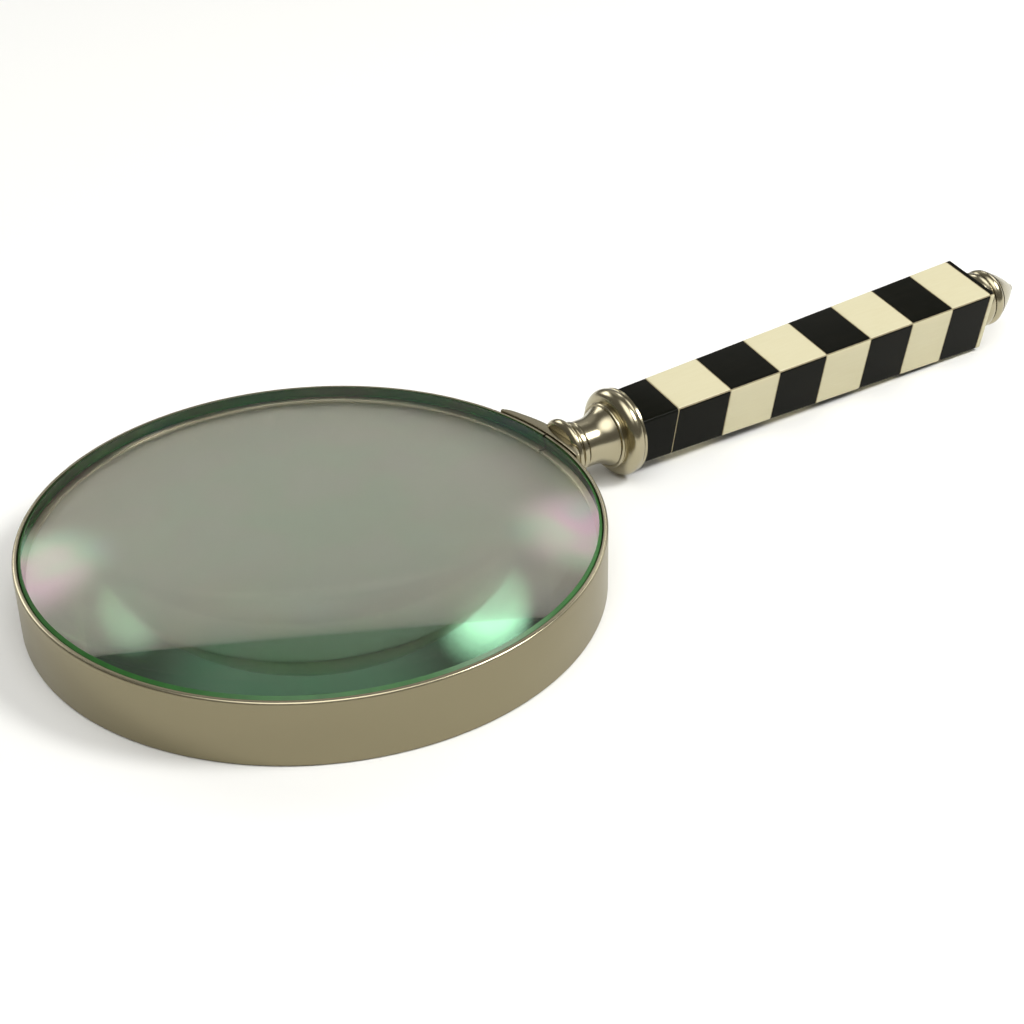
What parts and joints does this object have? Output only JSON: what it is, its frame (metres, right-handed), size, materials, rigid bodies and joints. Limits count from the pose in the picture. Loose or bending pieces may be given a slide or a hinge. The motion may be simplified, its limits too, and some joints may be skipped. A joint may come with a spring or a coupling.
{
  "type": "hand magnifier",
  "caption": "Reading magnifier: a thick convex lens in a split nickel-plated band, a turned ferrule, and a square tapered handle of bone and horn plates closed by a finial nut.",
  "frame": {"origin": "middle of the whole length and width, on the table plane that the band lies on", "axes": "+X runs along the handle from the lens to the finial; +Z is parallel to the lens axis and points up; +Y completes a right-handed frame"},
  "size_m": [0.227, 0.104, 0.0175],
  "materials": {
    "satin_nickel": "nickel plate rubbed to a warm satin, worn bright on its upper edge",
    "polished_nickel": "polished warm nickel plate on turned brass",
    "lens_glass": "clear thick glass with a green edge colour, polished on both faces",
    "bone_plate": "cream camel bone with fine grain, softly polished",
    "horn_plate": "black-brown buffalo horn, polished",
    "handle_wood": "plain close-grained hardwood, unfinished",
    "tang_steel": "plain steel rod"
  },
  "bodies": {
    "holder": {"band": "satin_nickel", "lens": "lens_glass", "saddle": "satin_nickel", "neck_stud": "polished_nickel", "bell_ferrule": "polished_nickel", "horn_end_block": "horn_plate", "core": "handle_wood", "bone_top_1": "bone_plate", "horn_front_1": "horn_plate", "bone_bottom_1": "bone_plate", "horn_back_1": "horn_plate", "horn_top_2": "horn_plate", "bone_front_2": "bone_plate", "horn_bottom_2": "horn_plate", "bone_back_2": "bone_plate", "bone_top_3": "bone_plate", "horn_front_3": "horn_plate", "bone_bottom_3": "bone_plate", "horn_back_3": "horn_plate", "horn_top_4": "horn_plate", "bone_front_4": "bone_plate", "horn_bottom_4": "horn_plate", "bone_back_4": "bone_plate", "bone_top_5": "bone_plate", "horn_front_5": "horn_plate", "bone_bottom_5": "bone_plate", "horn_back_5": "horn_plate", "horn_top_6": "horn_plate", "bone_front_6": "bone_plate", "horn_bottom_6": "horn_plate", "bone_back_6": "bone_plate", "bone_top_7": "bone_plate", "horn_front_7": "horn_plate", "bone_bottom_7": "bone_plate", "horn_back_7": "horn_plate", "horn_top_end": "horn_plate", "bone_front_end": "bone_plate", "horn_bottom_end": "horn_plate", "bone_back_end": "bone_plate", "tang": "tang_steel"},
    "finial_nut": {"finial": "polished_nickel"}
  },
  "joints": [
    {"name": "finial_unscrew", "type": "hinge", "parent": "holder", "child": "finial_nut", "pos_m": [0.103, 0, 0.00883], "axis": [1, 0, 0], "range_deg": [0, 3960]}
  ]
}
